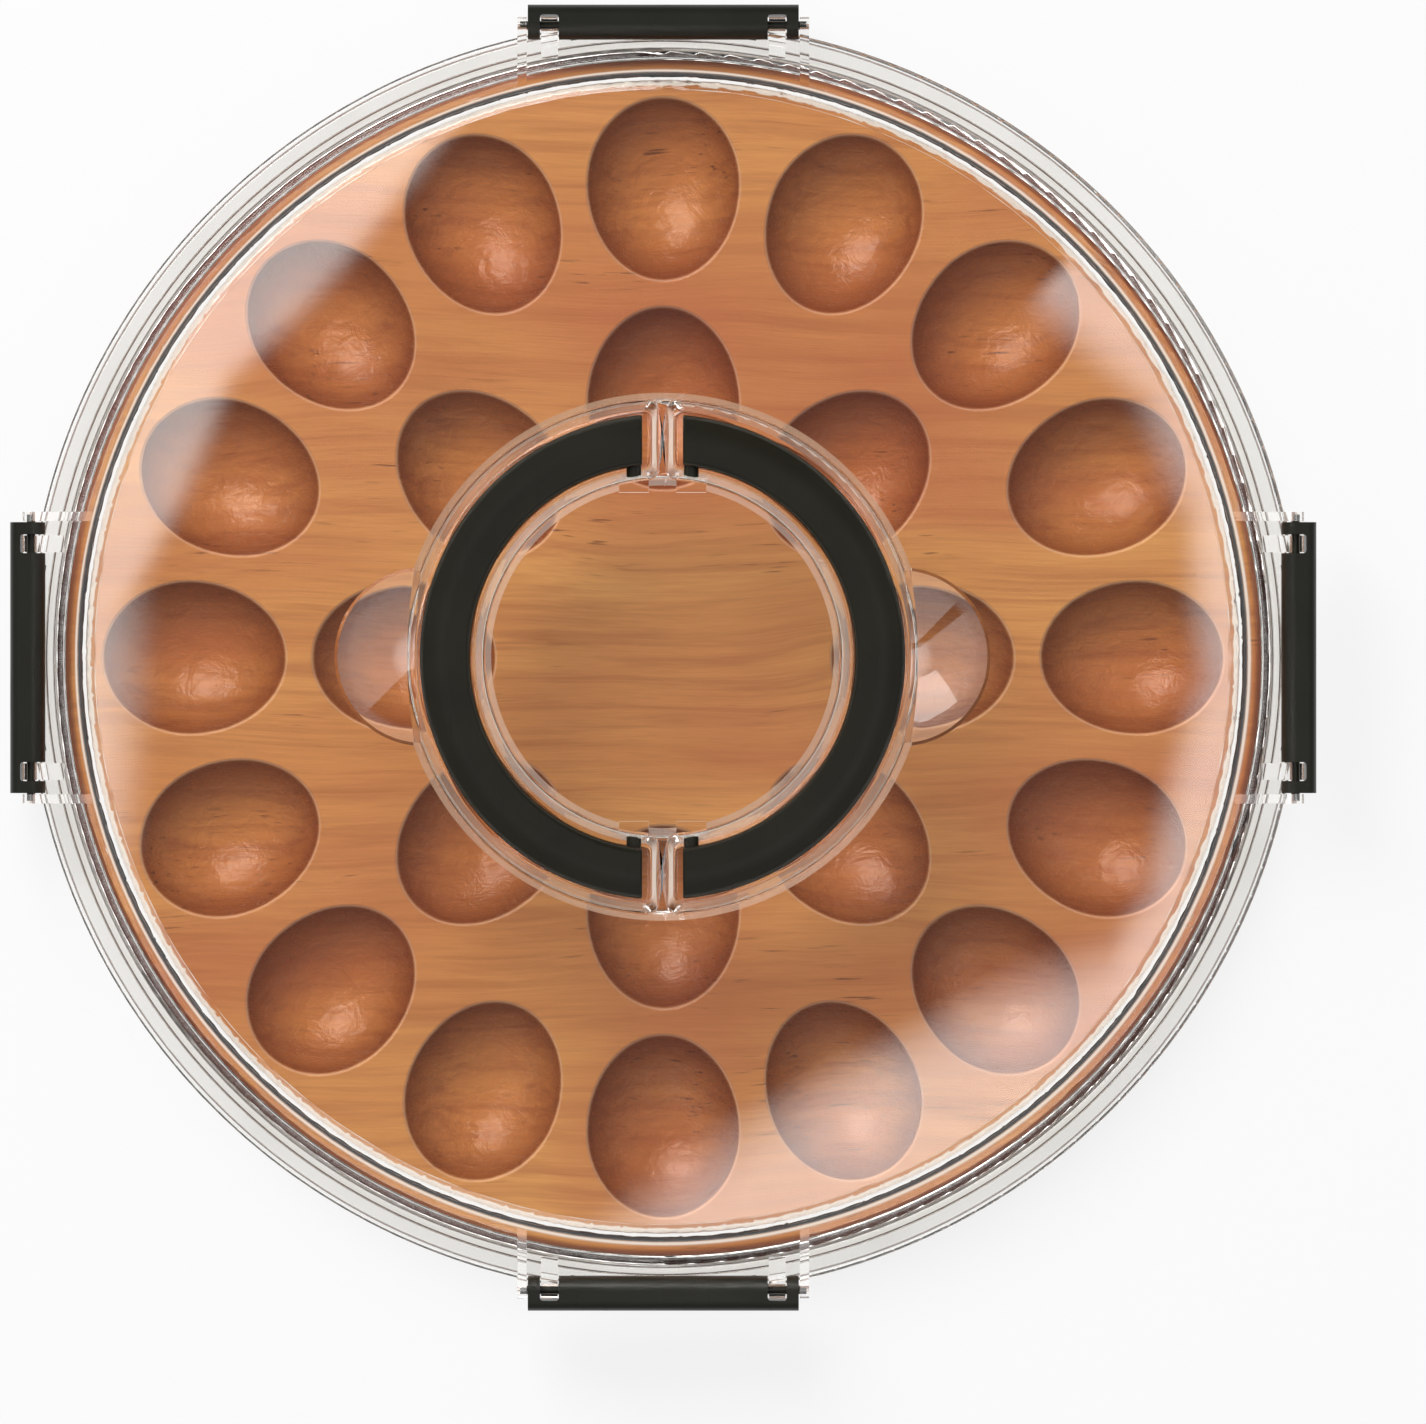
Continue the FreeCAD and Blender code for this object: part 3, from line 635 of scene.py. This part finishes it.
def makeSky():
    world = bpy.data.worlds.new("studioWorld")
    bpy.context.scene.world = world
    world.use_nodes = True
    world.cycles.sampling_method = "NONE"
    sky = world.node_tree
    sky.nodes.clear()
    out = newNode(sky, "ShaderNodeOutputWorld")
    light = newNode(sky, "ShaderNodeBackground")
    backdrop = newNode(sky, "ShaderNodeBackground")
    path = newNode(sky, "ShaderNodeLightPath").outputs
    split = newNode(sky, "ShaderNodeSeparateXYZ")
    sky.links.new(newNode(sky, "ShaderNodeTexCoord").outputs["Generated"], split.inputs[0])
    rise = split.outputs["Z"]
    height = combine(sky, "MAXIMUM", rise, studio["lowestHeight"])
    slopes = newNode(sky, "ShaderNodeCombineXYZ")
    for side in ("X", "Y"):
        sky.links.new(combine(sky, "DIVIDE", split.outputs[side], height), slopes.inputs[side])
    sides = [combine(sky, "MULTIPLY", panelEdges(sky, slopes.outputs["Vector"], studio[side + "Edges"], "MAXIMUM"),
                     panelEdges(sky, slopes.outputs["Vector"], studio[side + "Ends"], "MINIMUM"))
             for side in ("left", "right")]
    # the panels are brightest near their inner edges overhead and dimmer further down
    nearEdge = mapRange(sky, rise, studio["panelHeights"], (studio["wideShare"], 1.0), "SMOOTHSTEP")
    panels = combine(sky, "MULTIPLY", combine(sky, "MAXIMUM", *sides), nearEdge)
    high = mapRange(sky, panels, (0.0, 1.0), (studio["mirroredTop"], studio["mirroredPanels"]))
    low = mapRange(sky, rise, studio["sideHeights"], (1.0, 0.0), "SMOOTHSTEP")
    # a ray that passed one clear wall at most, and met nothing satin on its way, sees the full strength
    fewWalls = combine(sky, "LESS_THAN", path["Transmission Depth"], studio["oneWall"])
    sharp = combine(sky, "MULTIPLY", fewWalls, path["Is Singular Ray"])
    share = mapRange(sky, sharp, (0.0, 1.0), (studio["satinShare"], 1.0))
    mirrored = combine(sky, "MULTIPLY", mixValue(sky, low, high, studio["mirroredSides"]), share)
    plain = mapRange(sky, rise, studio["plainHeights"], (studio["skySides"], studio["skyTop"]))
    mirrors = combine(sky, "MAXIMUM", path["Is Glossy Ray"], path["Is Transmission Ray"])
    sky.links.new(mixValue(sky, mirrors, plain, mirrored), light.inputs["Strength"])
    shown = mixShaders(sky, path["Is Camera Ray"], light.outputs["Background"], backdrop.outputs["Background"])
    sky.links.new(shown, out.inputs["Surface"])
    layOut(sky)


makeSky()

keyData = bpy.data.lights.new("keySoftbox", "AREA")
keyData.shape = "SQUARE"
keyData.size = studio["keySize"]
keyData.energy = studio["keyPower"]
key = bpy.data.objects.new("keySoftbox", keyData)
bpy.context.collection.objects.link(key)
key.location = studio["keyPlace"]
key.rotation_euler = (Vector(studio["keyAim"]) - Vector(studio["keyPlace"])).to_track_quat("-Z", "Y").to_euler()
key.visible_glossy = False
print("studio lit")


# camera straight above the carrier, a little right of and below its middle
view = {
    "distance": 3.0,
    "middle": (0.01285, -0.01405),
    "rimHeight": 0.028,
    "frameWidth": 0.3693,
    "sensorWidth": 36.0,
    "farClip": 50.0,
    "allBounces": 9,
    "diffuseBounces": 2,
    "glossyBounces": 3,
    "clearBounces": 8,
}

camData = bpy.data.cameras.new("overheadCamera")
camData.sensor_width = view["sensorWidth"]
camData.lens = view["sensorWidth"] * view["distance"] / view["frameWidth"]
camData.clip_end = view["farClip"]
camera = bpy.data.objects.new("overheadCamera", camData)
bpy.context.collection.objects.link(camera)
camera.location = (*view["middle"], view["rimHeight"] + view["distance"])
scene = bpy.context.scene
scene.camera = camera
scene.view_settings.view_transform = "Standard"
scene.cycles.max_bounces = view["allBounces"]
scene.cycles.diffuse_bounces = view["diffuseBounces"]
scene.cycles.glossy_bounces = view["glossyBounces"]
scene.cycles.transmission_bounces = view["clearBounces"]
print("camera placed")
